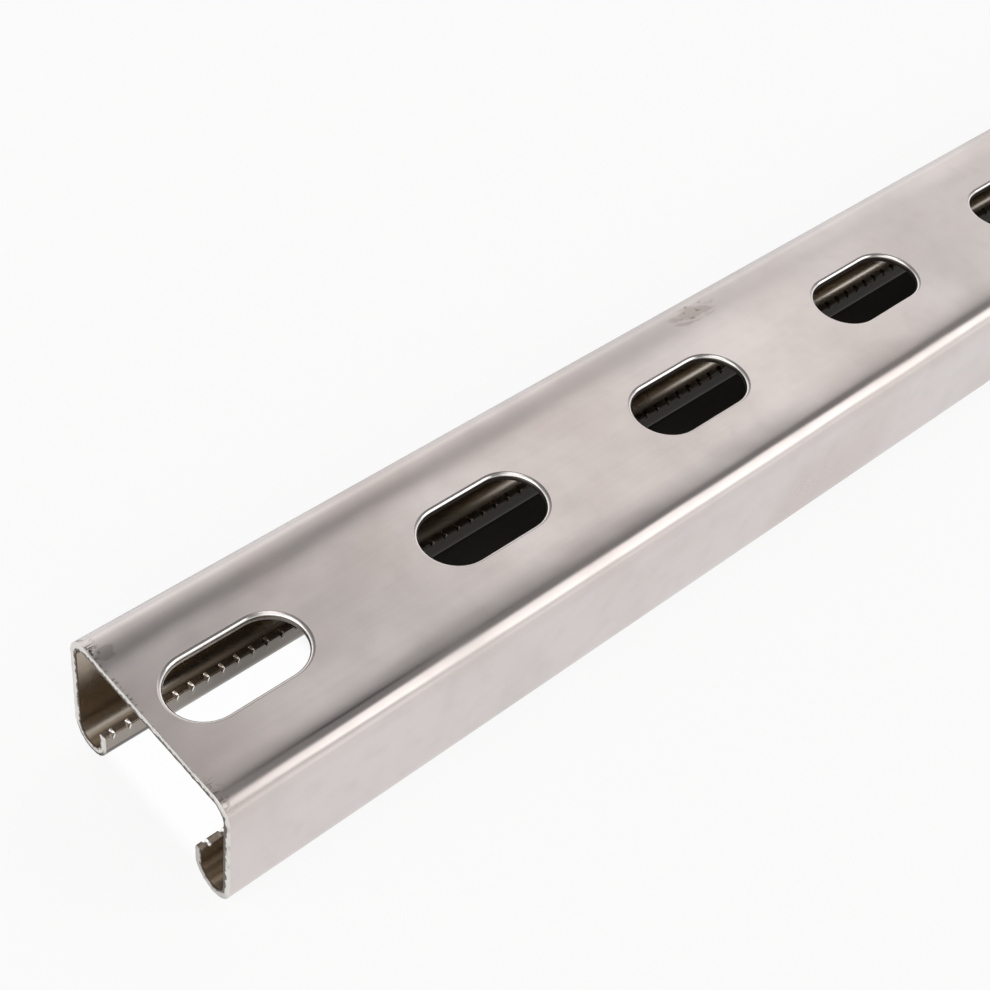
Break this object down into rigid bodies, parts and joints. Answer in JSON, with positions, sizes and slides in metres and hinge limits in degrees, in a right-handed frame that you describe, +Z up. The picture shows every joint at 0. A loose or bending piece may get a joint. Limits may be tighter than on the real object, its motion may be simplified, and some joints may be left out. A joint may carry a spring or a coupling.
{
  "type": "solar mounting rail",
  "caption": "Slotted steel channel rail with inward-curled lips, rolled from one strip; it lies on its lips with the slotted web up.",
  "frame": {"origin": "centre of the rail's footprint, at the bottom of its lips", "axes": "+X along the rail, away from the end with the nearer slot; +Y across it; +Z up, out of the slotted web"},
  "size_m": [1, 0.041, 0.025],
  "materials": {
    "steel": "bright rolled, satin, fine grain along the length"
  },
  "bodies": {
    "root": {"rail": "steel"}
  },
  "joints": []
}
